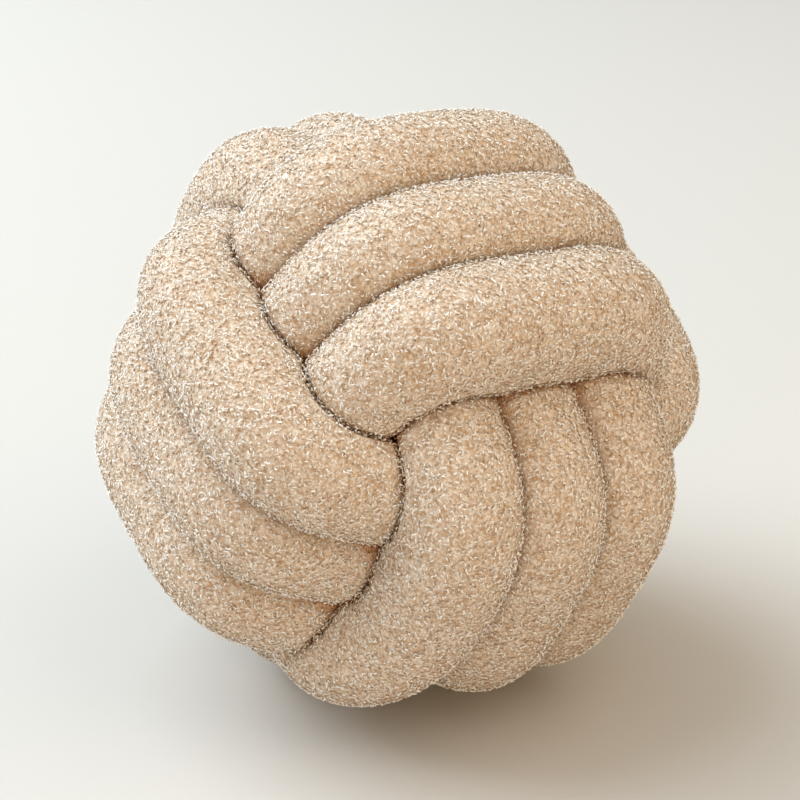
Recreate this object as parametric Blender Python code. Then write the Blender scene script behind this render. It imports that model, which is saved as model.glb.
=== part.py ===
"""Knot cushion: one long stuffed tube wound into a ball knot and joined end to end.

The ball has three bands, each of three passes of the tube side by side. Every band
lies over the next band on two sides of the ball and under the third on two others.
After its third pass the tube turns, inside the ball, into the first pass of the next
band; the last of these turns runs through the middle and closes the tube on itself.

Metres, +Z up. The cushion rests on Z = 0 with the middle of its box over the origin.
"""
import math

import bmesh
import bpy
import numpy as np
from mathutils import Euler

NODE = "knotted_tube"

# Where the tube's centreline runs, from the middle of the ball.
OUTER_MIDDLE = 0.116    # middle pass of a band, where the band lies on top
OUTER_SIDE = 0.112      # side passes, drawn in so that the ball comes out round
INNER = 0.0685          # any pass, where its band goes under another
PITCH_ON_TOP = 0.047    # from one pass to the next where the band lies on top
PITCH_UNDER = 0.042     # and where it goes under, squeezed together
SQUARENESS = 4.0        # of a pass seen along its axis: 2 is an ellipse, more is boxier
SHIFT_ANGLE = 80.0      # degrees over which a pass moves one pitch along, under a band
JOIN_ANGLE = 24.0       # degrees before the middle of that crossing where a band ends

# The stuffed tube.
TUBE_RADIUS = 0.032     # to the tips of the pile, where nothing presses on it
PRESSED_GAP = 0.0016    # kept between two stretches that press together side by side
CROSSING_GAP = 0.0060   # added where they cross, because the wall between them is curved
FIRMNESS = 8.0          # how sharply the round tube turns into the flat, pressed side
BEND_SQUEEZE = 0.82     # share of a bend's radius that its inner side may fill
BEND_REACH = 0.048      # path nearer than this along the tube counts as the same bend

# How the tube turns, inside the ball, from one band's end into the next band's start:
# the place it passes on the way, and the pull that rounds the turn.
TURNS = [
    {"from": 0, "to": 1, "by": (0.022, -0.016, -0.036), "pull": 0.060},
    {"from": 1, "to": 2, "by": (-0.036, 0.022, -0.016), "pull": 0.060},
    {"from": 2, "to": 0, "by": (0.008, 0.000, 0.014), "pull": 0.070},
]

# Each band's axes: across its passes on top, across them underneath, along its stack.
BANDS = [
    {"top": 0, "under": 1, "stack": 2},
    {"top": 1, "under": 2, "stack": 0},
    {"top": 2, "under": 0, "stack": 1},
]
PASSES = 3

# How the finished ball lies.
LIE_DEGREES = (-28.0, -5.0, -145.0)
REST_PRESS = 0.010      # height of the underside that is pressed flat
REST_EASE = 0.0015      # rounding where the flat spot ends

# Hand winding leaves a pass a little off the rule here and there: which band, at which
# angle along it, over how many degrees, and how far, as the ball lies.
NUDGES = [
    {"band": 1, "angle": -32, "spread": 18, "move": (-0.020, 0.000, 0.000)},
    {"band": 2, "angle": 138, "spread": 26, "move": (-0.004, 0.008, 0.006)},
    {"band": 2, "angle": 45, "spread": 22, "move": (-0.008, 0.000, 0.001)},
    {"band": 2, "angle": 405, "spread": 22, "move": (-0.009, 0.000, 0.000)},
    {"band": 2, "angle": 765, "spread": 22, "move": (-0.002, 0.000, 0.002)},
    {"band": 1, "angle": 150, "spread": 30, "move": (-0.001, 0.001, 0.005)},
    {"band": 1, "angle": 510, "spread": 30, "move": (0.000, 0.001, 0.005)},
    {"band": 2, "angle": 720, "spread": 40, "move": (0.000, 0.000, 0.0025)},
    {"band": 1, "angle": 25, "spread": 30, "move": (-0.0025, 0.000, 0.000)},
    {"band": 1, "angle": 385, "spread": 30, "move": (-0.0025, 0.000, 0.000)},
    {"band": 1, "angle": 745, "spread": 30, "move": (-0.0020, 0.000, 0.000)},
    {"band": 0, "angle": 165, "spread": 30, "move": (-0.003, 0.000, 0.000)},
    {"band": 0, "angle": 50, "spread": 20, "move": (0.002, 0.000, -0.004)},
    {"band": 0, "angle": 412, "spread": 20, "move": (0.003, 0.000, -0.004)},
    {"band": 0, "angle": 774, "spread": 20, "move": (0.003, 0.000, -0.004)},
    {"band": 0, "angle": -40, "spread": 14, "move": (-0.008, 0.000, 0.000)},
    {"band": 0, "angle": 318, "spread": 18, "move": (-0.002, 0.000, 0.000)},
    {"band": 1, "angle": 515, "spread": 22, "move": (-0.003, 0.000, 0.0035)},
    {"band": 1, "angle": 138, "spread": 14, "move": (0.001, 0.000, 0.004)},
]

# Facets.
SIDES = 13
LONG_STEP = 0.022       # between rings where the tube runs straight
TURN_STEP = 20.0        # degrees the tube may turn between two rings
PATH_STEP = 0.0015      # between the points that stand for the path itself

CLOTH_COLOR = (0.73, 0.60, 0.45, 1.0)
CLOTH_ROUGHNESS = 0.95


def smooth_step(x):
    """0 below 0, 1 above 1, and an even S between."""
    x = np.clip(x, 0.0, 1.0)
    return x * x * (3.0 - 2.0 * x)


def lie_matrix():
    """Turns the ball from its own axes to the way it lies."""
    return np.array(Euler([math.radians(a) for a in LIE_DEGREES]).to_matrix())


def band_path(number):
    """Centreline of one band: three turns that shift along the stack at one crossing."""
    band = BANDS[number]
    first = -90.0 + JOIN_ANGLE
    last = PASSES * 360.0 - 90.0 - JOIN_ANGLE
    angle = np.linspace(first, last, 3000)
    level = np.zeros_like(angle)
    for turn in range(1, PASSES):
        level += smooth_step((angle - (360.0 * turn - 90.0)) / SHIFT_ANGLE + 0.5)
    side = np.abs(1.0 - level)
    outer = OUTER_MIDDLE + (OUTER_SIDE - OUTER_MIDDLE) * side
    cos, sin = np.cos(np.radians(angle)), np.sin(np.radians(angle))
    power = SQUARENESS
    reach = (np.abs(cos / outer) ** power + np.abs(sin / INNER) ** power) ** (-1.0 / power)
    path = np.zeros((len(angle), 3))
    path[:, band["top"]] = reach * cos
    path[:, band["under"]] = reach * sin
    on_top = (reach * cos / outer) ** 2
    under = (reach * sin / INNER) ** 2
    pitch = (PITCH_ON_TOP * on_top + PITCH_UNDER * under) / (on_top + under)
    path[:, band["stack"]] = pitch * (1.0 - level)
    for nudge in NUDGES:
        if nudge["band"] == number:
            share = np.exp(-((angle - nudge["angle"]) / nudge["spread"]) ** 2)
            path += share[:, None] * (np.array(nudge["move"]) @ lie_matrix())
    return path


def bend(start, start_way, end, end_way, pull):
    """A smooth stretch from one point to another that leaves and arrives as told."""
    t = np.linspace(0.0, 1.0, 200)[1:, None]
    return ((2 * t**3 - 3 * t**2 + 1) * start + (t**3 - 2 * t**2 + t) * pull * start_way
            + (3 * t**2 - 2 * t**3) * end + (t**3 - t**2) * pull * end_way)


def turn_path(out, into, by, pull):
    """Hidden stretch from one band's end to the next band's start, past a place inside."""
    by = np.array(by)
    across = unit(into[0] - out[-1])
    first = bend(out[-1], unit(out[-1] - out[-2]), by, across, pull)
    second = bend(by, across, into[0], unit(into[1] - into[0]), pull)
    return np.vstack([first, second[:-1]])


def unit(vectors):
    return vectors / np.linalg.norm(vectors, axis=-1, keepdims=True)


def tube_path():
    """The whole closed centreline, in points PATH_STEP apart."""
    bands = [band_path(number) for number in range(len(BANDS))]
    pieces = []
    for turn in TURNS:
        out, into = bands[turn["from"]], bands[turn["to"]]
        pieces += [out, turn_path(out, into, turn["by"], turn["pull"])]
    path = np.vstack(pieces)
    ends = np.vstack([path, path[:1]])
    run = np.concatenate([[0.0], np.cumsum(np.linalg.norm(np.diff(ends, axis=0), axis=1))])
    count = round(run[-1] / PATH_STEP)
    return resample(ends, run, np.arange(count) * run[-1] / count)


def resample(points, run, at):
    return np.stack([np.interp(at, run, points[:, axis]) for axis in range(3)], axis=1)


def headings(path):
    return unit(np.roll(path, -1, axis=0) - np.roll(path, 1, axis=0))


def ring_places(path):
    """Indices along the path where rings go: closer together where the tube bends."""
    ways = headings(path)
    turning = np.degrees(np.arccos(np.clip((ways * np.roll(ways, -1, axis=0)).sum(axis=1), -1, 1)))
    smooth = np.ones(9) / 9
    turning = np.convolve(np.concatenate([turning[-4:], turning, turning[:4]]), smooth, "valid")
    step = np.linalg.norm(np.roll(path, -1, axis=0) - path, axis=1)
    need = np.cumsum(np.hypot(step / LONG_STEP, turning / TURN_STEP))
    count = round(need[-1])
    return np.searchsorted(need, (np.arange(count) + 0.5) * need[-1] / count)


def ring_frames(path, places):
    """Two directions across the tube at each ring, carried along without twisting."""
    ways = headings(path)
    across = np.zeros_like(path)
    across[0] = unit(np.cross(ways[0], (0.0, 0.0, 1.0)))
    for i in range(1, len(path)):
        across[i] = unit(across[i - 1] - ways[i] * (across[i - 1] @ ways[i]))
    closing = across[-1] - ways[0] * (across[-1] @ ways[0])
    other = np.cross(ways[0], across[0])
    twist = math.atan2(closing @ other, closing @ across[0])
    back = -twist * np.arange(len(path)) / len(path)
    up = np.cross(ways, across)
    turned = across * np.cos(back)[:, None] + up * np.sin(back)[:, None]
    return turned[places], np.cross(ways, turned)[places]


def tube_skin(path, places):
    """Rings of skin points: round where free, flat where the tube presses on itself.

    From a ring's centre, a skin point may go as far as the place that lies equally near
    to some other point of the path, less half the gap. So pressed stretches meet half way.
    """
    across, up = ring_frames(path, places)
    around = np.arange(SIDES) * 2.0 * math.pi / SIDES
    spokes = (np.cos(around)[None, :, None] * across[:, None, :]
              + np.sin(around)[None, :, None] * up[:, None, :])
    ways = headings(path)
    skin = np.zeros_like(spokes)
    for ring, place in enumerate(places):
        to_path = path - path[place]
        squared = (to_path ** 2).sum(axis=1)
        along = np.abs(np.arange(len(path)) - place)
        along = np.minimum(along, len(path) - along) * PATH_STEP
        share = np.where(along < BEND_REACH, BEND_SQUEEZE, 1.0)
        towards = spokes[ring] @ to_path.T
        half_way = np.where(towards > 1e-9, share * squared / (2.0 * np.maximum(towards, 1e-9)), 1.0)
        half_way[:, place] = 1.0
        nearest = half_way.argmin(axis=1)
        crossing = np.linalg.norm(np.cross(ways[place], ways[nearest]), axis=1)
        crossing[along[nearest] < BEND_REACH] = 0.0
        limit = half_way.min(axis=1) - (PRESSED_GAP + CROSSING_GAP * crossing) / 2.0
        reach = (limit ** -FIRMNESS + TUBE_RADIUS ** -FIRMNESS) ** (-1.0 / FIRMNESS)
        skin[ring] = path[place] + reach[:, None] * spokes[ring]
    return skin


def lay_down(skin):
    """Turns the ball as it lies, presses its underside flat and centres its box."""
    points = skin @ lie_matrix().T
    points[..., 2] -= points[..., 2].min() + REST_PRESS
    height = points[..., 2]
    eased = np.where(height < REST_EASE, (height + REST_EASE) ** 2 / (4.0 * REST_EASE), height)
    points[..., 2] = np.where(height < -REST_EASE, 0.0, eased)
    for axis in (0, 1):
        points[..., axis] -= (points[..., axis].min() + points[..., axis].max()) / 2.0
    return points


def tube_mesh(name, skin):
    """One closed body: rings joined side by side, the last ring to the first."""
    rings, sides = skin.shape[:2]
    mesh = bpy.data.meshes.new(name)
    bm = bmesh.new()
    verts = [[bm.verts.new(point) for point in ring] for ring in skin]
    for i in range(rings):
        for j in range(sides):
            i2, j2 = (i + 1) % rings, (j + 1) % sides
            bm.faces.new((verts[i][j], verts[i][j2], verts[i2][j2], verts[i2][j]))
    bmesh.ops.triangulate(bm, faces=bm.faces[:])
    bmesh.ops.recalc_face_normals(bm, faces=bm.faces[:])
    bm.to_mesh(mesh)
    bm.free()
    mesh.shade_smooth()
    return mesh


def cloth_material():
    material = bpy.data.materials.new("looped_cloth")
    material.use_nodes = True
    shader = material.node_tree.nodes["Principled BSDF"]
    shader.inputs["Base Color"].default_value = CLOTH_COLOR
    shader.inputs["Roughness"].default_value = CLOTH_ROUGHNESS
    shader.inputs["Metallic"].default_value = 0.0
    return material


def main():
    for thing in list(bpy.data.objects):
        bpy.data.objects.remove(thing, do_unlink=True)
    path = tube_path()
    skin = tube_skin(path, ring_places(path))
    mesh = tube_mesh(NODE, lay_down(skin))
    mesh.materials.append(cloth_material())
    cushion = bpy.data.objects.new(NODE, mesh)
    bpy.context.scene.collection.objects.link(cushion)
    print(f"tube {len(path) * PATH_STEP:.2f} m, {len(skin)} rings, {len(mesh.polygons)} triangles")


main()
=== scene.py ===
# %% [markdown]
# # A knot cushion in looped cloth
# The cushion is one long stuffed tube, wound into a ball with three bands of three passes
# and joined end to end inside. Its cloth has a short curly pile. This lesson builds the
# plump, pressed tube first, then grows the pile on it, then lights it and sets the camera.
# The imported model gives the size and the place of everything.

# %% Load the frame
import math

import bpy
import numpy as np
from mathutils import Euler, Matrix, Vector
from mathutils.bvhtree import BVHTree


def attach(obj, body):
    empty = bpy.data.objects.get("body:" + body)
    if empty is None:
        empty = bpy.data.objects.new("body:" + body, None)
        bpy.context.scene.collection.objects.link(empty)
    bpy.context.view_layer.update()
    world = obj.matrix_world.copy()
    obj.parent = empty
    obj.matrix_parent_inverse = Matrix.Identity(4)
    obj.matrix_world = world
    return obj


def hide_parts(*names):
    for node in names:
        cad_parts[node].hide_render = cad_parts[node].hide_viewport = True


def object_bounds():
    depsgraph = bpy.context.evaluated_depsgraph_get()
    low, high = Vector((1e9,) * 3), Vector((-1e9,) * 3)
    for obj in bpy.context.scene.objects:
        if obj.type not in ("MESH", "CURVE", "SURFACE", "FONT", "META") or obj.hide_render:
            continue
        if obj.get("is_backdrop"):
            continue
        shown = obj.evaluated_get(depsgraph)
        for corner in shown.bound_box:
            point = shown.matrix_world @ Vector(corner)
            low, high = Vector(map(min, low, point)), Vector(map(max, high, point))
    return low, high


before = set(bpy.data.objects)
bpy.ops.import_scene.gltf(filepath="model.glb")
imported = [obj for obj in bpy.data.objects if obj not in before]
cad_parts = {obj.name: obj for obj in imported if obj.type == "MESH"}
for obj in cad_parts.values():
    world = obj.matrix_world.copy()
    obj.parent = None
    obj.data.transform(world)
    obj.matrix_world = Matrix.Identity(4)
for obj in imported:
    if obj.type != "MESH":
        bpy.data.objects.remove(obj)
cad_low, cad_high = (np.array(corner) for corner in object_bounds())
MM = 0.001
print("frame box in mm:", np.round((cad_high - cad_low) / MM, 1))

# %% [markdown]
# ## Three bands of the knot
# On the real cushion the tube goes three times round the ball one way, then three times
# round it a second way and a third. Each band lies over one neighbour and under the other.
# A pass could be drawn by hand as a curve, but all nine follow one rule, so a formula is
# surer: seen along its axis a pass is a rounded box, far out where it lies on top and
# close in where it goes under, and it slips one pitch sideways while it is hidden.

# %% Path of one band
OUTER_MIDDLE = 0.116    # middle pass of a band, where the band lies on top
OUTER_SIDE = 0.112      # side passes, drawn in so that the ball comes out round
INNER = 0.0685          # any pass, where its band goes under another
PITCH_ON_TOP = 0.047    # from one pass to the next where the band lies on top
PITCH_UNDER = 0.042     # and where it goes under, squeezed together
SQUARENESS = 4.0        # of a pass seen along its axis: 2 is an ellipse, more is boxier
SHIFT_ANGLE = 80.0      # degrees over which a pass moves one pitch along, under a band
JOIN_ANGLE = 24.0       # degrees before the middle of that crossing where a band ends
PASSES = 3
BAND_POINTS = 3000
BANDS = [
    {"top": 0, "under": 1, "stack": 2},
    {"top": 1, "under": 2, "stack": 0},
    {"top": 2, "under": 0, "stack": 1},
]
LIE_DEGREES = (-28.0, -5.0, -145.0)     # how the finished ball is turned as it lies
LIE = np.array(Euler([math.radians(angle) for angle in LIE_DEGREES]).to_matrix())

# Hand winding leaves a pass a little off the rule here and there. Each row says which band,
# at which angle along it, over how many degrees, and how far, as the ball lies.
NUDGES = [
    {"band": 1, "angle": -32, "spread": 18, "move": (-0.020, 0.000, 0.000)},
    {"band": 2, "angle": 138, "spread": 26, "move": (-0.004, 0.008, 0.006)},
    {"band": 2, "angle": 45, "spread": 22, "move": (-0.008, 0.000, 0.001)},
    {"band": 2, "angle": 405, "spread": 22, "move": (-0.009, 0.000, 0.000)},
    {"band": 2, "angle": 765, "spread": 22, "move": (-0.002, 0.000, 0.002)},
    {"band": 1, "angle": 150, "spread": 30, "move": (-0.001, 0.001, 0.005)},
    {"band": 1, "angle": 510, "spread": 30, "move": (0.000, 0.001, 0.005)},
    {"band": 2, "angle": 720, "spread": 40, "move": (0.000, 0.000, 0.0025)},
    {"band": 1, "angle": 25, "spread": 30, "move": (-0.0025, 0.000, 0.000)},
    {"band": 1, "angle": 385, "spread": 30, "move": (-0.0025, 0.000, 0.000)},
    {"band": 1, "angle": 745, "spread": 30, "move": (-0.0020, 0.000, 0.000)},
    {"band": 0, "angle": 165, "spread": 30, "move": (-0.003, 0.000, 0.000)},
    {"band": 0, "angle": 50, "spread": 20, "move": (0.002, 0.000, -0.004)},
    {"band": 0, "angle": 412, "spread": 20, "move": (0.003, 0.000, -0.004)},
    {"band": 0, "angle": 774, "spread": 20, "move": (0.003, 0.000, -0.004)},
    {"band": 0, "angle": -40, "spread": 14, "move": (-0.008, 0.000, 0.000)},
    {"band": 0, "angle": 318, "spread": 18, "move": (-0.002, 0.000, 0.000)},
    {"band": 1, "angle": 515, "spread": 22, "move": (-0.003, 0.000, 0.0035)},
    {"band": 1, "angle": 138, "spread": 14, "move": (0.001, 0.000, 0.004)},
]


def smooth_step(x):
    """0 below 0, 1 above 1, and an even S between."""
    x = np.clip(x, 0.0, 1.0)
    return x * x * (3.0 - 2.0 * x)


def band_path(number):
    """Middle line of one band: three turns that shift along the stack at one crossing."""
    band = BANDS[number]
    angle = np.linspace(-90.0 + JOIN_ANGLE, PASSES * 360.0 - 90.0 - JOIN_ANGLE, BAND_POINTS)
    level = np.zeros_like(angle)
    for turn in range(1, PASSES):
        level += smooth_step((angle - (360.0 * turn - 90.0)) / SHIFT_ANGLE + 0.5)
    outer = OUTER_MIDDLE + (OUTER_SIDE - OUTER_MIDDLE) * np.abs(1.0 - level)
    cos, sin = np.cos(np.radians(angle)), np.sin(np.radians(angle))
    power = SQUARENESS
    reach = (np.abs(cos / outer) ** power + np.abs(sin / INNER) ** power) ** (-1.0 / power)
    path = np.zeros((len(angle), 3))
    path[:, band["top"]] = reach * cos
    path[:, band["under"]] = reach * sin
    on_top = (reach * cos / outer) ** 2
    under = (reach * sin / INNER) ** 2
    pitch = (PITCH_ON_TOP * on_top + PITCH_UNDER * under) / (on_top + under)
    path[:, band["stack"]] = pitch * (1.0 - level)
    for nudge in NUDGES:
        if nudge["band"] == number:
            share = np.exp(-((angle - nudge["angle"]) / nudge["spread"]) ** 2)
            path += share[:, None] * (np.array(nudge["move"]) @ LIE)
    return path


print("points on one band:", len(band_path(0)))

# %% [markdown]
# ## From one band into the next
# The maker tucks the tube inside the ball after the third pass and brings it out as the
# next band. The last tuck runs through the middle and meets the start, so the tube has no
# ends. These turns don't show, but they belong to the cushion. Each is a smooth stretch
# between two headings, past one place that keeps it clear of the passes round it.

# %% The whole closed path
PATH_STEP = 0.003       # between the points that stand for the path
BEND_POINTS = 200
TURNS = [
    {"from": 0, "to": 1, "by": (0.022, -0.016, -0.036), "pull": 0.060},
    {"from": 1, "to": 2, "by": (-0.036, 0.022, -0.016), "pull": 0.060},
    {"from": 2, "to": 0, "by": (0.008, 0.000, 0.014), "pull": 0.070},
]


def unit(vectors):
    return vectors / np.linalg.norm(vectors, axis=-1, keepdims=True)


def bend(start, start_way, end, end_way, pull):
    """A smooth stretch from one point to another that leaves and arrives as told."""
    t = np.linspace(0.0, 1.0, BEND_POINTS)[1:, None]
    return ((2 * t**3 - 3 * t**2 + 1) * start + (t**3 - 2 * t**2 + t) * pull * start_way
            + (3 * t**2 - 2 * t**3) * end + (t**3 - t**2) * pull * end_way)


def turn_path(out, into, by, pull):
    """Hidden stretch from one band's end to the next band's start, past a place inside."""
    by = np.array(by)
    across = unit(into[0] - out[-1])
    first = bend(out[-1], unit(out[-1] - out[-2]), by, across, pull)
    second = bend(by, across, into[0], unit(into[1] - into[0]), pull)
    return np.vstack([first, second[:-1]])


def tube_path():
    """The closed path in even steps, and where along it each band starts and ends."""
    bands = [band_path(number) for number in range(len(BANDS))]
    pieces, marks = [], []
    for turn in TURNS:
        out, into = bands[turn["from"]], bands[turn["to"]]
        marks.append(sum(len(piece) for piece in pieces) + np.array([0, len(out) - 1]))
        pieces += [out, turn_path(out, into, turn["by"], turn["pull"])]
    path = np.vstack(pieces)
    ends = np.vstack([path, path[:1]])
    run = np.concatenate([[0.0], np.cumsum(np.linalg.norm(np.diff(ends, axis=0), axis=1))])
    count = round(run[-1] / PATH_STEP)
    at = np.arange(count) * run[-1] / count
    even = np.stack([np.interp(at, run, ends[:, axis]) for axis in range(3)], axis=1)
    return even, run[np.array(marks)] / run[-1]


path, band_spans = tube_path()
print(f"tube {len(path) * PATH_STEP:.2f} m long, bands at {np.round(band_spans, 3).tolist()}")

# %% [markdown]
# ## Small helpers for node trees
# The tube and its pile both come from Geometry Nodes, built here in the script. A tree
# could be wired node by node each time, but a few helpers keep it short: one starts a tree
# with named inputs, one adds a node and links it, one keeps a number on every point, and
# one turns the result into a plain mesh.

# %% Helpers for node trees
def new_tree(name, inputs):
    """A Geometry Nodes tree with a geometry in and out and these named inputs."""
    tree = bpy.data.node_groups.new(name, "GeometryNodeTree")
    face = tree.interface
    face.new_socket("Geometry", in_out="INPUT", socket_type="NodeSocketGeometry")
    for label, kind in inputs.items():
        face.new_socket(label, in_out="INPUT", socket_type="NodeSocket" + kind)
    face.new_socket("Geometry", in_out="OUTPUT", socket_type="NodeSocketGeometry")
    return tree, tree.nodes.new("NodeGroupInput"), tree.nodes.new("NodeGroupOutput")


def add(tree, kind, inputs=None, **settings):
    """A node with its settings; each of its inputs is a value or another node's socket."""
    made = tree.nodes.new(kind)
    for key, value in settings.items():
        setattr(made, key, value)
    for key, value in (inputs or {}).items():
        if isinstance(value, bpy.types.NodeSocket):
            tree.links.new(value, made.inputs[key])
        else:
            made.inputs[key].default_value = value
    return made


def keep(tree, shape, name, value, kind):
    """The shape with a named number or vector kept on each of its points."""
    kept = add(tree, "GeometryNodeStoreNamedAttribute",
               {"Geometry": shape, "Name": name, "Value": value},
               data_type=kind, domain="POINT")
    return kept.outputs["Geometry"]


def finish_tree(tree, shape, material, out):
    """Every tree ends the same way: smooth faces, real points and the cloth."""
    smooth = add(tree, "GeometryNodeSetShadeSmooth", {"Geometry": shape})
    real = add(tree, "GeometryNodeRealizeInstances", {"Geometry": smooth.outputs["Geometry"]})
    worn = add(tree, "GeometryNodeSetMaterial",
               {"Geometry": real.outputs["Geometry"], "Material": material})
    tree.links.new(worn.outputs["Geometry"], out.inputs["Geometry"])


def run_tree(tree, start, name, values):
    """The plain mesh object that the tree makes from a starting mesh."""
    source = bpy.data.objects.new(name + "_source", start)
    bpy.context.scene.collection.objects.link(source)
    modifier = source.modifiers.new("nodes", "NODES")
    modifier.node_group = tree
    sockets = {item.name: item.identifier for item in tree.interface.items_tree
               if item.item_type == "SOCKET" and item.in_out == "INPUT"}
    for label, value in values.items():
        modifier[sockets[label]] = value
    seen = source.evaluated_get(bpy.context.evaluated_depsgraph_get())
    mesh = bpy.data.meshes.new_from_object(seen)
    mesh.name = name
    source.modifiers.remove(modifier)
    bpy.data.objects.remove(source)
    bpy.data.meshes.remove(start)
    made = bpy.data.objects.new(name, mesh)
    bpy.context.scene.collection.objects.link(made)
    return made


print("helpers ready")

# %% [markdown]
# ## A round tube along the path
# Before it is wound, the cushion is a plain stuffed tube, so the first mesh is a circle
# swept along the path. A curve with a bevel would do it too, but nodes can also keep each
# ring's number and its middle on the points, and the next step needs both.

# %% Sweep the tube
TUBE_RADIUS = 0.032     # to the tips of the pile, where nothing presses on it
PILE_HEIGHT = 0.0016    # how far the curls stand above the cloth
RINGS = 1560
SIDES = 40


def read_points(mesh):
    """Every point of the mesh, one row each."""
    found = np.zeros(len(mesh.vertices) * 3, np.float32)
    mesh.vertices.foreach_get("co", found)
    return found.reshape(-1, 3).astype(float)


def read_vectors(mesh, name):
    """A vector kept on every point, one row each."""
    found = np.zeros(len(mesh.vertices) * 3, np.float32)
    mesh.attributes[name].data.foreach_get("vector", found)
    return found.reshape(-1, 3).astype(float)


def read_numbers(mesh, name):
    """A whole number kept on every point."""
    found = np.zeros(len(mesh.vertices), np.int32)
    mesh.attributes[name].data.foreach_get("value", found)
    return found


def sweep_tree():
    tree, given, out = new_tree("sweep_tube", {
        "Rings": "Int", "Sides": "Int", "Radius": "Float", "Cloth": "Material"})
    line = add(tree, "GeometryNodeMeshToCurve", {"Mesh": given.outputs["Geometry"]})
    even = add(tree, "GeometryNodeResampleCurve",
               {"Curve": line.outputs["Curve"], "Count": given.outputs["Rings"]})
    number = add(tree, "GeometryNodeInputIndex").outputs["Index"]
    place = add(tree, "GeometryNodeInputPosition").outputs["Position"]
    rings = keep(tree, even.outputs["Curve"], "ring", number, "INT")
    rings = keep(tree, rings, "middle", place, "FLOAT_VECTOR")
    circle = add(tree, "GeometryNodeCurvePrimitiveCircle",
                 {"Resolution": given.outputs["Sides"], "Radius": given.outputs["Radius"]})
    tube = add(tree, "GeometryNodeCurveToMesh",
               {"Curve": rings, "Profile Curve": circle.outputs["Curve"]})
    finish_tree(tree, tube.outputs["Mesh"], given.outputs["Cloth"], out)
    return tree


def path_line(points):
    """The path as a closed chain of edges."""
    line = bpy.data.meshes.new("path_line")
    count = len(points)
    edges = [(i, (i + 1) % count) for i in range(count)]
    line.from_pydata(points.tolist(), edges, [])
    return line


ground_cloth = bpy.data.materials.new("ground_cloth")
cushion = run_tree(sweep_tree(), path_line(path), "knotted_cloth", {
    "Rings": RINGS, "Sides": SIDES, "Radius": 1.0, "Cloth": ground_cloth})
middles = read_vectors(cushion.data, "middle").reshape(RINGS, SIDES, 3)[:, 0]
spokes = unit(read_points(cushion.data).reshape(RINGS, SIDES, 3) - middles[:, None])
ring_numbers = read_numbers(cushion.data, "ring").reshape(RINGS, SIDES)
assert (ring_numbers == np.arange(RINGS)[:, None]).all()
print("swept tube:", len(cushion.data.polygons), "faces")

# %% [markdown]
# ## Press the tube against itself
# Wound tightly, the stuffing gives way where two stretches meet, and the tube stays round
# only where it is free. Cloth simulation might find this, but nine passes that all press on
# one another are a hard case for it. A rule is surer: from a ring's middle a skin point may
# go as far as the place that lies equally near to another stretch, less half the gap, and
# no further than the tube's own radius. The two limits are blended, so the skin turns in
# softly.

# %% Skin of the wound tube
PRESSED_GAP = 0.0018    # between two cloths that press side by side, pile and all
CROSSING_GAP = 0.0008   # added where they cross, because the wall between them is curved
FIRMNESS = 13           # how sharply a pressed wall turns into the round one
SWELL = 0.14            # the stuffing swells this much into a gap beside a crossing
SWELL_REACH = 0.010     # where the gap is narrower than this
BEND_SQUEEZE = 0.82     # share of a bend's radius that its inner side may fill
BEND_REACH = 0.048      # path nearer than this along the tube counts as the same bend
FACING = 1e-9           # a spoke that gains less than this towards a place points away from it
NO_LIMIT = 1.0          # stands for no limit, far beyond any real one


def headings(points):
    return unit(np.roll(points, -1, axis=0) - np.roll(points, 1, axis=0))


def pressed_reach(radius):
    """How far each skin point goes from its ring's middle."""
    ways, ring_ways = headings(path), headings(middles)
    at = np.arange(RINGS) * len(path) / RINGS
    reach = np.zeros((RINGS, SIDES))
    for ring in range(RINGS):
        to_path = path - middles[ring]
        squared = (to_path ** 2).sum(axis=1)
        along = np.abs(np.arange(len(path)) - at[ring])
        along = np.minimum(along, len(path) - along) * PATH_STEP
        share = np.where(along < BEND_REACH, BEND_SQUEEZE, 1.0)
        towards = spokes[ring] @ to_path.T
        away = (towards < FACING) | (along < PATH_STEP)
        half_way = share * squared / (2.0 * np.where(away, 1.0, towards))
        half_way = np.where(away, NO_LIMIT, half_way)
        nearest = half_way.argmin(axis=1)
        crossing = np.linalg.norm(np.cross(ring_ways[ring], ways[nearest]), axis=1)
        crossing[along[nearest] < BEND_REACH] = 0.0
        limit = half_way.min(axis=1) - (PRESSED_GAP + CROSSING_GAP * crossing) / 2.0
        swell = 1.0 + SWELL * smooth_step((radius + SWELL_REACH - limit) / SWELL_REACH) * crossing
        free = radius * swell
        reach[ring] = (limit ** -FIRMNESS + free ** -FIRMNESS) ** (-1.0 / FIRMNESS)
    return reach


reach = pressed_reach(TUBE_RADIUS - PILE_HEIGHT)
print(f"skin goes {reach.min() / MM:.1f} to {reach.max() / MM:.1f} mm from the tube's middle")

# %% [markdown]
# ## Lay the ball down
# The ball lies as it was dropped, a little turned, and its own weight presses a small flat
# spot under it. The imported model's box says where it stands, so the ball is turned by the
# same three angles and moved until its outline, pile included, fills that box.

# %% Turn, place and rest
CLOTH_REST = 0.0010     # the cloth lies this far above the surface, on its pressed pile
REST_EASE = 0.0015      # rounding where the flat spot ends

skin = (middles[:, None] + reach[..., None] * spokes) @ LIE.T
low, high = skin.min(axis=(0, 1)), skin.max(axis=(0, 1))
shift = (cad_low + cad_high) / 2.0 - (low + high) / 2.0
shift[2] = cad_high[2] - PILE_HEIGHT - high[2]
ball_middle = shift.copy()
skin += shift


def settle(points, floor):
    """Flattens what lies under the floor height, with a soft edge."""
    height = points[..., 2] - floor
    eased = np.where(height < REST_EASE, (height + REST_EASE) ** 2 / (4.0 * REST_EASE), height)
    points[..., 2] = floor + np.where(height < -REST_EASE, 0.0, eased)
    return points


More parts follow.
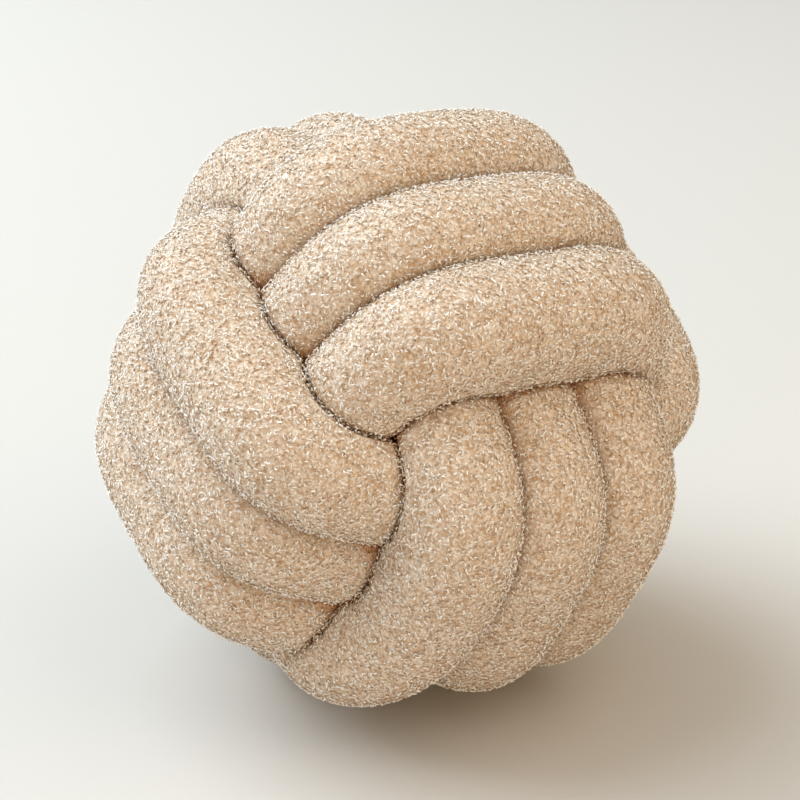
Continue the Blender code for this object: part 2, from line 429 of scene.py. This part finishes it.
skin = settle(skin, CLOTH_REST)
cushion.data.vertices.foreach_set("co", skin.astype(np.float32).ravel())
cushion.data.update()
print("ball middle in mm:", np.round(ball_middle / MM, 1))

# %% [markdown]
# ## What the eye and the light can reach
# Most of the cloth is hidden between the passes. Pile grown there would never be seen, so
# each point of the cloth looks out along a fan of rays, and the share that leaves the ball
# says how open the place is. The same number later darkens the cloth's colour in the
# creases: painted shade.

# %% Openness of every point
RAYS = 14
FAN_DEPTH = 0.92        # of the way from straight out down to the cloth
RAY_START = 0.0015      # above the cloth, so that a ray doesn't meet it at once
WALLED_IN = 0.6         # a skin point pressed in below this share of the radius sees no light
NEAR_X = 0.8            # a normal nearer to X than this takes Y to find its side ways
SOFTENINGS = 2


def ray_fan():
    """Even directions over the sphere's upper half, steepest first."""
    turn = math.pi * (3.0 - math.sqrt(5.0))
    rise = 1.0 - (np.arange(RAYS) + 0.5) / RAYS * FAN_DEPTH
    flat = np.sqrt(1.0 - rise ** 2)
    spin = np.arange(RAYS) * turn
    return np.stack([flat * np.cos(spin), flat * np.sin(spin), rise], axis=1)


def grid_normals(points):
    along = np.roll(points, -1, axis=0) - np.roll(points, 1, axis=0)
    around = np.roll(points, -1, axis=1) - np.roll(points, 1, axis=1)
    return unit(np.cross(along, around) + 1e-12)


normals = grid_normals(skin)
outward = (normals * (skin - skin.mean(axis=1, keepdims=True))).sum(axis=2)
faces_out = outward.mean() > 0.0
normals *= 1.0 if faces_out else -1.0


def clear_share(tree, fan, point, normal):
    """The share of the fan's rays that leave the ball from one point of the cloth."""
    helper = (1.0, 0.0, 0.0) if abs(normal[0]) < NEAR_X else (0.0, 1.0, 0.0)
    first = unit(np.cross(normal, helper))
    second = np.cross(normal, first)
    start = Vector(point + normal * RAY_START)
    clear = 0
    for way in fan:
        goes = way[0] * first + way[1] * second + way[2] * normal
        clear += tree.ray_cast(start, Vector(goes))[0] is None
    return clear / RAYS


def softened(values):
    """Each point takes the mean of itself and its four neighbours."""
    return (values + np.roll(values, 1, 0) + np.roll(values, -1, 0)
            + np.roll(values, 1, 1) + np.roll(values, -1, 1)) / 5.0


def openness():
    """How open each point is; every second ring is measured, and the rest lie between."""
    tree = BVHTree.FromPolygons(skin.reshape(-1, 3).tolist(),
                                [tuple(face.vertices) for face in cushion.data.polygons])
    fan = ray_fan()
    found = np.zeros((RINGS, SIDES))
    free = reach >= WALLED_IN * (TUBE_RADIUS - PILE_HEIGHT)
    for ring in range(0, RINGS, 2):
        for side in np.flatnonzero(free[ring]):
            found[ring, side] = clear_share(tree, fan, skin[ring, side], normals[ring, side])
    found[1::2] = (found[0::2] + np.roll(found[0::2], -1, axis=0)) / 2.0
    for _ in range(SOFTENINGS):
        found = softened(found)
    return found


opened = openness()
stored = cushion.data.attributes.new("open", "FLOAT", "POINT")
stored.data.foreach_set("value", opened.astype(np.float32).ravel())
print(f"open cloth: {100 * (opened > 0.05).mean():.0f}% of the points")

# %% [markdown]
# ## The pile
# The cloth is covered with a short curly pile: countless bits of yarn, each a few
# millimetres long, bent round and lying across one another. A particle system or a bump
# texture could stand for them, but only real curls give the grainy shade and the fuzzy
# outline. A curl starts as a three-sided spindle with pointed ends, which the tree then
# bends round an arc. It has only nine faces, because there are many thousands of curls.

# %% One curl
CURL_RADIUS = 0.00110   # of the arc
CURL_SWEEP = 250.0      # degrees of a full round
YARN_WIDTH = 0.00094
CURL_HEIGHT = 0.0008    # a curl's middle stands this far above the cloth
SPINDLE_RADIUS = 0.5
SPINDLE_SIDES = 3
SPINDLE_RINGS = 3
ALMOST_TWO = 1.999      # makes the spindle's length run from -1 to 1, and no further


def maths(tree, operation, *values):
    """The result of a Math node on numbers or sockets."""
    return add(tree, "ShaderNodeMath", dict(enumerate(values)), operation=operation).outputs["Value"]


def vector_maths(tree, operation, *values):
    """The result of a Vector Math node on vectors or sockets."""
    return add(tree, "ShaderNodeVectorMath", dict(enumerate(values)),
               operation=operation).outputs["Vector"]


def curl(tree, given):
    """A three-sided bit of yarn, pointed at both ends and bent round an arc."""
    sweep, radius, width, height = (given.outputs[name]
                                    for name in ("Sweep", "Radius", "Width", "Height"))
    spindle = add(tree, "GeometryNodeMeshUVSphere", {
        "Segments": SPINDLE_SIDES, "Rings": SPINDLE_RINGS, "Radius": SPINDLE_RADIUS})
    place = add(tree, "GeometryNodeInputPosition")
    parts = add(tree, "ShaderNodeSeparateXYZ", {"Vector": place.outputs["Position"]}).outputs
    along = maths(tree, "ARCSINE", maths(tree, "MULTIPLY", parts["Z"], ALMOST_TWO))
    angle = maths(tree, "MULTIPLY", along, maths(tree, "MULTIPLY", sweep, 1.0 / math.pi))
    out_by = maths(tree, "MULTIPLY_ADD", parts["X"], width, radius)
    across = maths(tree, "MULTIPLY", maths(tree, "SINE", angle), out_by)
    ahead = maths(tree, "MULTIPLY", maths(tree, "COSINE", angle), out_by)
    up = maths(tree, "MULTIPLY_ADD", parts["Y"], width, height)
    spot = add(tree, "ShaderNodeCombineXYZ", {"X": across, "Y": ahead, "Z": up})
    shaped = add(tree, "GeometryNodeSetPosition", {
        "Geometry": spindle.outputs["Mesh"], "Position": spot.outputs["Vector"]})
    return shaped.outputs["Geometry"]


print("curl", round(2 * CURL_RADIUS / MM, 1), "mm across")

# %% [markdown]
# ## How the curls lie
# No two curls of the cloth lie alike. They could be turned one by one in a loop, but the
# tree does it for all of them at once, from fixed seeds. Each curl is spun about the
# cloth's own normal, leaned over and rolled, and its size varies by nearly a third either
# way. It is also paler or darker than the next, half by chance and half with the clump it
# is in, because such pile gathers in clumps a few millimetres wide.

# %% Turns, sizes and shades at random
LEAN_DEGREES = 40.0     # how far a curl may tip from lying flat
ROLL_RADIANS = 1.2
SIZE_RANGE = (0.7, 1.3)
CLUMP_SCALE = 230.0     # paler and darker clumps a few millimetres wide
CLUMP_RANGE = (0.32, 0.68)
NOISE_DETAIL = 1.0
SEEDS = {"shade": 21, "spin": 22, "lean": 23, "roll": 24, "size": 25}


def random_turn(tree, before, axis, least, most, seed):
    """The rotation before, turned on by a random angle about its own axis."""
    angle = add(tree, "FunctionNodeRandomValue", {"Min": least, "Max": most, "Seed": seed},
                data_type="FLOAT")
    by = add(tree, "FunctionNodeAxisAngleToRotation",
             {"Axis": axis, "Angle": angle.outputs["Value"]})
    turned = add(tree, "FunctionNodeRotateRotation",
                 {"Rotation": before, "Rotate By": by.outputs["Rotation"]},
                 rotation_space="LOCAL")
    return turned.outputs["Rotation"]


def tumbled(tree, before, lean):
    """A rotation spun about Z, then leaned and rolled."""
    spun = random_turn(tree, before, (0.0, 0.0, 1.0), 0.0, math.tau, SEEDS["spin"])
    least = maths(tree, "MULTIPLY", lean, -1.0)
    leaned = random_turn(tree, spun, (0.0, 1.0, 0.0), least, lean, SEEDS["lean"])
    return random_turn(tree, leaned, (1.0, 0.0, 0.0), -ROLL_RADIANS, ROLL_RADIANS, SEEDS["roll"])


def random_size(tree):
    least, most = SIZE_RANGE
    size = add(tree, "FunctionNodeRandomValue",
               {"Min": (least,) * 3, "Max": (most,) * 3, "Seed": SEEDS["size"]},
               data_type="FLOAT_VECTOR")
    return size.outputs["Value"]


def curl_shade(tree):
    """Half of a curl's shade is its own, and half is its clump's."""
    own = add(tree, "FunctionNodeRandomValue", {"Seed": SEEDS["shade"]}, data_type="FLOAT")
    noise = add(tree, "ShaderNodeTexNoise", {"Scale": CLUMP_SCALE, "Detail": NOISE_DETAIL},
                noise_dimensions="3D")
    clump = add(tree, "ShaderNodeMapRange", {
        "Value": noise.outputs["Fac"], "From Min": CLUMP_RANGE[0], "From Max": CLUMP_RANGE[1]})
    both = maths(tree, "ADD", own.outputs["Value"], clump.outputs["Result"])
    return maths(tree, "MULTIPLY", both, 0.5)


print("a curl leans up to", LEAN_DEGREES, "degrees")

# %% [markdown]
# ## The tree that grows the pile
# The curls of the real cloth stand close together but not in rows. A grid of points would
# show as rows, so Poisson spacing sets them. After they are real points, noise ruffles
# them all, as hands do. Each point then remembers how high it stands above its root, and
# the yarn's colour reads that height later: pale at the top, and brown at the root as
# painted shade deep in the pile.

# %% Grow the pile
CURL_SPACING = 0.00182
MOST_CURLS = 4.0e6      # for each square metre, before the spacing thins them
RUFFLE = 0.0010
RUFFLE_SCALE = 420.0


def height_above_root(tree):
    """How far a point stands above its root, as a share of the pile's height."""
    now = add(tree, "GeometryNodeInputPosition")
    root = add(tree, "GeometryNodeInputNamedAttribute", {"Name": "root"},
               data_type="FLOAT_VECTOR")
    outward = add(tree, "GeometryNodeInputNamedAttribute", {"Name": "outward"},
                  data_type="FLOAT_VECTOR")
    from_root = vector_maths(tree, "SUBTRACT", now.outputs["Position"], root.outputs["Attribute"])
    rise = add(tree, "ShaderNodeVectorMath", {0: from_root, 1: outward.outputs["Attribute"]},
               operation="DOT_PRODUCT")
    return maths(tree, "DIVIDE", rise.outputs["Value"], PILE_HEIGHT)


def ruffled(tree, shape, strength):
    """The shape with every point moved a little by noise."""
    noise = add(tree, "ShaderNodeTexNoise", {"Scale": RUFFLE_SCALE, "Detail": NOISE_DETAIL},
                noise_dimensions="3D")
    centred = vector_maths(tree, "SUBTRACT", noise.outputs["Color"], (0.5, 0.5, 0.5))
    offset = add(tree, "ShaderNodeVectorMath", {0: centred, "Scale": strength},
                 operation="SCALE")
    moved = add(tree, "GeometryNodeSetPosition",
                {"Geometry": shape, "Offset": offset.outputs["Vector"]})
    return moved.outputs["Geometry"]


def pile_tree():
    tree, given, out = new_tree("grow_pile", {
        "Spacing": "Float", "Radius": "Float", "Sweep": "Float", "Width": "Float",
        "Height": "Float", "Lean": "Float", "Ruffle": "Float", "Seed": "Int",
        "Cloth": "Material"})
    spread = add(tree, "GeometryNodeDistributePointsOnFaces", {
        "Mesh": given.outputs["Geometry"], "Distance Min": given.outputs["Spacing"],
        "Density Max": MOST_CURLS, "Density Factor": 1.0, "Seed": given.outputs["Seed"]},
        distribute_method="POISSON")
    place = add(tree, "GeometryNodeInputPosition")
    points = keep(tree, spread.outputs["Points"], "shade", curl_shade(tree), "FLOAT")
    points = keep(tree, points, "root", place.outputs["Position"], "FLOAT_VECTOR")
    points = keep(tree, points, "outward", spread.outputs["Normal"], "FLOAT_VECTOR")
    lie = tumbled(tree, spread.outputs["Rotation"], given.outputs["Lean"])
    copies = add(tree, "GeometryNodeInstanceOnPoints", {
        "Points": points, "Instance": curl(tree, given), "Rotation": lie,
        "Scale": random_size(tree)})
    real = add(tree, "GeometryNodeRealizeInstances", {"Geometry": copies.outputs["Instances"]})
    curls = ruffled(tree, real.outputs["Geometry"], given.outputs["Ruffle"])
    curls = keep(tree, curls, "lift", height_above_root(tree), "FLOAT")
    finish_tree(tree, curls, given.outputs["Cloth"], out)
    return tree


grow = pile_tree()
print("the pile's tree has", len(grow.nodes), "nodes")

# %% [markdown]
# ## Pile on each pass
# The real pile runs on without a break. As one mesh it would be too heavy, so the tree runs
# once for each of the nine passes. It gets only the cloth that is open enough for its pile
# to show. Under the ball the pile is pressed, so its lowest curls are brought up to lie on
# the surface and not in it.

# %% Nine pieces of pile
OPEN_ENOUGH = 0.09      # cloth less open than this has no pile
LOW_PILE = 0.002        # pile lower than this lies under the ball
PRESSED_SHARE = 0.75    # of its height that such pile keeps
PRESSED_LIFT = 0.0005   # above the surface


def open_cloth(first, last):
    """The part of the cloth between two rings that is open enough to have pile."""
    rows, cols = np.arange(first, last) % RINGS, np.arange(SIDES)
    next_rows, next_cols = (rows + 1) % RINGS, (cols + 1) % SIDES
    corners = [(rows, cols), (next_rows, cols), (next_rows, next_cols), (rows, next_cols)]
    faces = np.stack([row[:, None] * SIDES + col[None, :] for row, col in corners], axis=2)
    faces = faces.reshape(-1, 4)
    flat_open = opened.reshape(-1)
    faces = faces[flat_open[faces].mean(axis=1) > OPEN_ENOUGH]
    used, index = np.unique(faces, return_inverse=True)
    mesh = bpy.data.meshes.new("open_cloth")
    mesh.from_pydata(skin.reshape(-1, 3)[used].tolist(), [], index.reshape(-1, 4).tolist())
    if not faces_out:
        mesh.flip_normals()
    kept = mesh.attributes.new("open", "FLOAT", "POINT")
    kept.data.foreach_set("value", flat_open[used].astype(np.float32))
    return mesh


def rest_pile(piece):
    """Presses the lowest curls, so that none goes into the surface."""
    points = read_points(piece.data)
    under = points[:, 2] < LOW_PILE
    points[under, 2] = np.maximum(points[under, 2], 0.0) * PRESSED_SHARE + PRESSED_LIFT
    piece.data.vertices.foreach_set("co", points.astype(np.float32).ravel())
    piece.data.update()


pile_yarn = bpy.data.materials.new("pile_yarn")
pile = []
for band, (start, end) in enumerate(band_spans):
    for turn in range(PASSES):
        first = round(RINGS * (start + (end - start) * turn / PASSES))
        last = round(RINGS * (start + (end - start) * (turn + 1) / PASSES))
        piece = run_tree(grow, open_cloth(first, last), f"pile_{'abc'[band]}{turn + 1}", {
            "Spacing": CURL_SPACING, "Radius": CURL_RADIUS, "Sweep": math.radians(CURL_SWEEP),
            "Width": YARN_WIDTH, "Height": CURL_HEIGHT, "Lean": math.radians(LEAN_DEGREES),
            "Ruffle": RUFFLE, "Seed": 10 * band + turn, "Cloth": pile_yarn})
        rest_pile(piece)
        pile.append(piece)
counts = [sum(len(face.vertices) - 2 for face in piece.data.polygons) for piece in pile]
print(f"triangles in the pile {sum(counts)}, at most {max(counts)} in a piece")

# %% [markdown]
# ## Finish of the cloth
# The cloth is matt, with a faint bloom of light at its edges. A plain diffuse surface lacks
# that bloom, so the shader has a little sheen. Light that goes down into a crease bounces
# between warm fibres and comes back browner. The curls alone show too little of that, so
# painted shade stands in for it: the colour is multiplied towards brown as the cloth gets
# less open.

# %% Finish shared by pile and cloth
# Painted shade: openness where the crease darkening starts and where it is full.
CREASE_SHADE_RANGE = (0.38, 0.06)     # openness where the crease tint starts and where it is full
ROUGHNESS = 1.0
SPECULAR = 0.05
SHEEN = 0.3
SHEEN_ROUGHNESS = 0.4
SHEEN_TINT = (1.0, 0.90, 0.78)


def shader_of(material):
    material.use_nodes = True
    return material.node_tree, material.node_tree.nodes["Principled BSDF"]


def mix(tree, factor, first, second, blend="MIX"):
    """A colour mixed from two, each a colour or a socket."""
    mixed = add(tree, "ShaderNodeMix", {"Factor": factor}, data_type="RGBA", blend_type=blend)
    for number, colour in ((6, first), (7, second)):
        if isinstance(colour, bpy.types.NodeSocket):
            tree.links.new(colour, mixed.inputs[number])
        else:
            mixed.inputs[number].default_value = (*colour, 1.0)
    return mixed.outputs[2]


def cloth_finish(material, deep, pale, crease_shade, value_of):
    """Soft matt cloth, from the deep colour to the pale one, with painted shade in the creases."""
    tree, shader = shader_of(material)
    colour = mix(tree, value_of(tree), deep, pale)
    is_open = add(tree, "ShaderNodeAttribute", attribute_name="open")
    closed = add(tree, "ShaderNodeMapRange", {
        "Value": is_open.outputs["Fac"],
        "From Min": CREASE_SHADE_RANGE[0], "From Max": CREASE_SHADE_RANGE[1]})
    # Painted shade: the colour is multiplied towards brown where the cloth is less open.
    tinted = mix(tree, closed.outputs["Result"], colour, crease_shade, "MULTIPLY")
    tree.links.new(tinted, shader.inputs["Base Color"])
    shader.inputs["Roughness"].default_value = ROUGHNESS
    shader.inputs["Specular IOR Level"].default_value = SPECULAR
    shader.inputs["Sheen Weight"].default_value = SHEEN
    shader.inputs["Sheen Roughness"].default_value = SHEEN_ROUGHNESS
    shader.inputs["Sheen Tint"].default_value = (*SHEEN_TINT, 1.0)
    return tree, shader


print("sheen", SHEEN, "and roughness", ROUGHNESS)

# %% [markdown]
# ## Colours of the curls
# The yarn is cream, nearly white at a curl's top. Towards the root its colour is painted
# light brown: painted shade deep in the pile. One plain colour would lose that, so a value
# runs between the two, made from the height above the root and from the curl's own shade,
# a random tone.

# %% Pile yarn
# Painted shade: a curl's colour at its root, deep in the pile; darker random curls lean towards it too.
YARN_ROOT_SHADE_AND_TONE = (0.57, 0.41, 0.26)
YARN_TIP = (0.99, 0.985, 0.97)
# Painted shade of the pile's creases, multiplied into the yarn's colour.
YARN_CREASE_SHADE = (0.80, 0.49, 0.26)
LIFT_SHARE = 2.0        # how fast the yarn pales with its height
SHADE_SHARE = 0.6       # how much curls differ
ROOT_VALUE = -0.75


def pile_value(tree):
    """Pale at the curl's top, painted brown towards its root as shade, and each curl a little of its own.
    """
    lift = add(tree, "ShaderNodeAttribute", attribute_name="lift")
    shade = add(tree, "ShaderNodeAttribute", attribute_name="shade")
    own = maths(tree, "MULTIPLY_ADD", shade.outputs["Fac"], SHADE_SHARE, ROOT_VALUE)
    return maths(tree, "MULTIPLY_ADD", lift.outputs["Fac"], LIFT_SHARE, own)


cloth_finish(pile_yarn, YARN_ROOT_SHADE_AND_TONE, YARN_TIP, YARN_CREASE_SHADE, pile_value)
print("yarn from", YARN_ROOT_SHADE_AND_TONE, "to", YARN_TIP)

# %% [markdown]
# ## Colours of the cloth under them
# Between the curls the eye meets more curls, lying deeper. They are too many to model, so
# the ground has grains of about their size: Voronoi cells whose edges wander with noise.
# Towards each grain's edge the colour is painted brown, as painted shade in the gaps between
# those deeper curls, and the grains are paler and darker at random in clumps as wide as the
# pile's. The same value drives a bump, which gives each grain a light side and a dark side.

# %% Ground cloth
# Painted shade: the brown of the gaps between the deeper curls; the darker random clumps lean towards it
# too.
GROUND_GAP_SHADE_AND_TONE = (0.50, 0.30, 0.15)
GROUND_PALE = (0.985, 0.95, 0.89)
# Painted shade of the cloth's creases, multiplied into the ground's colour.
GROUND_CREASE_SHADE = (1.00, 0.62, 0.33)
GRAIN_SCALE = 620.0
GRAIN_RANGE = (0.80, 0.20)      # from a grain's edge to its middle
WANDER_SCALE = 700.0
WANDER = 0.0020                 # how far the grains' edges wander
PATCH_RANGE = (0.30, 0.70)
PATCH_DETAIL = 3.0
PATCH_ROUGHNESS = 0.65
PATCH_DISTORTION = 0.8
BUMP_STRENGTH = 1.0
BUMP_HEIGHT = 0.0010


def ground_value(tree):
    """Close grains with curly edges, as the curls deeper in the pile show them: painted shade at the
    edges, random clumps of tone.
    """
    place = add(tree, "ShaderNodeTexCoord").outputs["Object"]
    wander = add(tree, "ShaderNodeTexNoise",
                 {"Vector": place, "Scale": WANDER_SCALE, "Detail": NOISE_DETAIL})
    off = vector_maths(tree, "MULTIPLY_ADD", wander.outputs["Color"], (WANDER,) * 3, place)
    cells = add(tree, "ShaderNodeTexVoronoi", {"Vector": off, "Scale": GRAIN_SCALE},
                feature="F1")
    grain = add(tree, "ShaderNodeMapRange", {
        "Value": cells.outputs["Distance"],
        "From Min": GRAIN_RANGE[0], "From Max": GRAIN_RANGE[1]})
    patches = add(tree, "ShaderNodeTexNoise", {
        "Vector": place, "Scale": CLUMP_SCALE, "Detail": PATCH_DETAIL,
        "Roughness": PATCH_ROUGHNESS, "Distortion": PATCH_DISTORTION})
    patch = add(tree, "ShaderNodeMapRange", {
        "Value": patches.outputs["Fac"],
        "From Min": PATCH_RANGE[0], "From Max": PATCH_RANGE[1]})
    half = maths(tree, "MULTIPLY", patch.outputs["Result"], 0.5)
    return maths(tree, "MULTIPLY_ADD", grain.outputs["Result"], 0.5, half)


ground_tree, ground_shader = cloth_finish(
    ground_cloth, GROUND_GAP_SHADE_AND_TONE, GROUND_PALE, GROUND_CREASE_SHADE, ground_value)
bump = add(ground_tree, "ShaderNodeBump", {
    "Height": ground_value(ground_tree), "Strength": BUMP_STRENGTH, "Distance": BUMP_HEIGHT})
ground_tree.links.new(bump.outputs["Normal"], ground_shader.inputs["Normal"])
print("ground from", GROUND_GAP_SHADE_AND_TONE, "to", GROUND_PALE)

# %% [markdown]
# ## Floor
# The cushion rests on a plain pale floor, so wide that its edge is far off in every view.
# A curved backdrop would hide the edge too, but would look wrong from behind. The floor is
# there for the cushion's shadow, so it has one colour and no pattern.

# %% Pale floor
FLOOR_SIZE = 30.0
FLOOR_COLOUR = (0.60, 0.59, 0.575)
FLOOR_ROUGHNESS = 0.9

bpy.ops.mesh.primitive_plane_add(size=FLOOR_SIZE, location=(0.0, 0.0, 0.0))
floor = bpy.context.object
floor.name = "floor"
pale_floor = bpy.data.materials.new("pale_floor")
_, floor_shader = shader_of(pale_floor)
floor_shader.inputs["Base Color"].default_value = (*FLOOR_COLOUR, 1.0)
floor_shader.inputs["Roughness"].default_value = FLOOR_ROUGHNESS
floor.data.materials.append(pale_floor)
floor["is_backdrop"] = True
print("floor", FLOOR_SIZE, "m wide")

# %% [markdown]
# ## Camera
# The camera stands in front and looks down on the cushion at a gentle angle. A short lens
# close by would stretch the ball, so the lens is long. It could look straight at the
# ball's middle, but a shift of a few millimetres sets the ball well in the frame.

# %% Camera in front
CAMERA_ELEVATION = 24.0
CAMERA_DISTANCE = 1.108
CAMERA_LENS = 98.1
CAMERA_SENSOR = 36.0
AIM_LEFT = 0.0009
AIM_UP = 0.0027

tilt = math.radians(CAMERA_ELEVATION)
back = Vector((0.0, -math.cos(tilt), math.sin(tilt)))
image_up = Vector((0.0, math.sin(tilt), math.cos(tilt)))
aim = Vector(ball_middle) + image_up * AIM_UP + Vector((-AIM_LEFT, 0.0, 0.0))
camera = bpy.data.objects.new("camera", bpy.data.cameras.new("camera"))
bpy.context.scene.collection.objects.link(camera)
camera.location = aim + back * CAMERA_DISTANCE
camera.rotation_mode = "QUATERNION"
camera.rotation_quaternion = back.to_track_quat("Z", "Y")
camera.data.lens = CAMERA_LENS
camera.data.sensor_width = CAMERA_SENSOR
bpy.context.scene.camera = camera
print(f"camera {CAMERA_DISTANCE} m away, {CAMERA_ELEVATION} degrees up")

# %% [markdown]
# ## Light
# A bright room lights the cushion mostly from the left, from above and a little behind, as
# a tall window does. Its light is cool. What comes back from the right and from the front
# has bounced off warm walls and the floor, so it is weaker and warmer. One small lamp would
# give hard shadows, and wide discs a few metres away give the soft ones of a room. Their
# first strengths came from weighing a small render for each lamp. Trial and error has
# changed every strength since, and most of the places.

# %% Soft lights
DAYLIGHT = (0.86, 0.95, 1.0)
WALL_WARM = (1.0, 0.81, 0.57)
FLOOR_WARM = (1.0, 0.70, 0.41)
ROOM_STRENGTH = 0.18
LIGHTS = [
    {"name": "window", "from": (-2.90, 0.40, 1.75), "size": 3.8, "watts": 24.0, "colour": DAYLIGHT},
    {"name": "window_back", "from": (-2.75, 1.80, 1.65), "size": 3.8, "watts": 88.0, "colour": DAYLIGHT},
    {"name": "window_top", "from": (-2.00, 0.60, 3.10), "size": 3.8, "watts": 112.0, "colour": DAYLIGHT},
    {"name": "ceiling", "from": (0.00, -0.60, 3.90), "size": 7.0, "watts": 80.0, "colour": DAYLIGHT},
    {"name": "room_right", "from": (2.20, -0.60, 2.80), "size": 3.8, "watts": 40.0, "colour": WALL_WARM},
    {"name": "room_front", "from": (0.00, -3.70, 0.55), "size": 3.8, "watts": 72.0, "colour": FLOOR_WARM},
    {"name": "room_low", "from": (3.05, -1.45, 0.70), "size": 3.8, "watts": 24.0, "colour": FLOOR_WARM},
]


def soft_light(row):
    """A wide disc lamp that faces the ball's middle."""
    lamp = bpy.data.lights.new(row["name"], "AREA")
    lamp.shape = "DISK"
    lamp.size = row["size"]
    lamp.energy = row["watts"]
    lamp.color = row["colour"]
    light = bpy.data.objects.new(row["name"], lamp)
    bpy.context.scene.collection.objects.link(light)
    light.location = row["from"]
    light.rotation_mode = "QUATERNION"
    light.rotation_quaternion = (Vector(row["from"]) - Vector(ball_middle)).to_track_quat("Z", "Y")


for row in LIGHTS:
    soft_light(row)

room = bpy.data.worlds.new("soft_room")
room.use_nodes = True
room_light = room.node_tree.nodes["Background"]
room_light.inputs["Color"].default_value = (*WALL_WARM, 1.0)
room_light.inputs["Strength"].default_value = ROOM_STRENGTH
bpy.context.scene.world = room
bpy.context.scene.view_settings.view_transform = "Standard"
print(len(LIGHTS), "lamps,", sum(row["watts"] for row in LIGHTS), "W in all")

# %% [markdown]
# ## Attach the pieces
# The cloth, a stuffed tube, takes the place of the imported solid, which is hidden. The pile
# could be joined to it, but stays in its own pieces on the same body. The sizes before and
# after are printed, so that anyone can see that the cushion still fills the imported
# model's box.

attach(cushion, "root")
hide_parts("knotted_tube")
for piece in pile:
    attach(piece, "root")
low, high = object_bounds()
print("visual box in mm:", [round(value / MM, 1) for value in (*low, *high)])
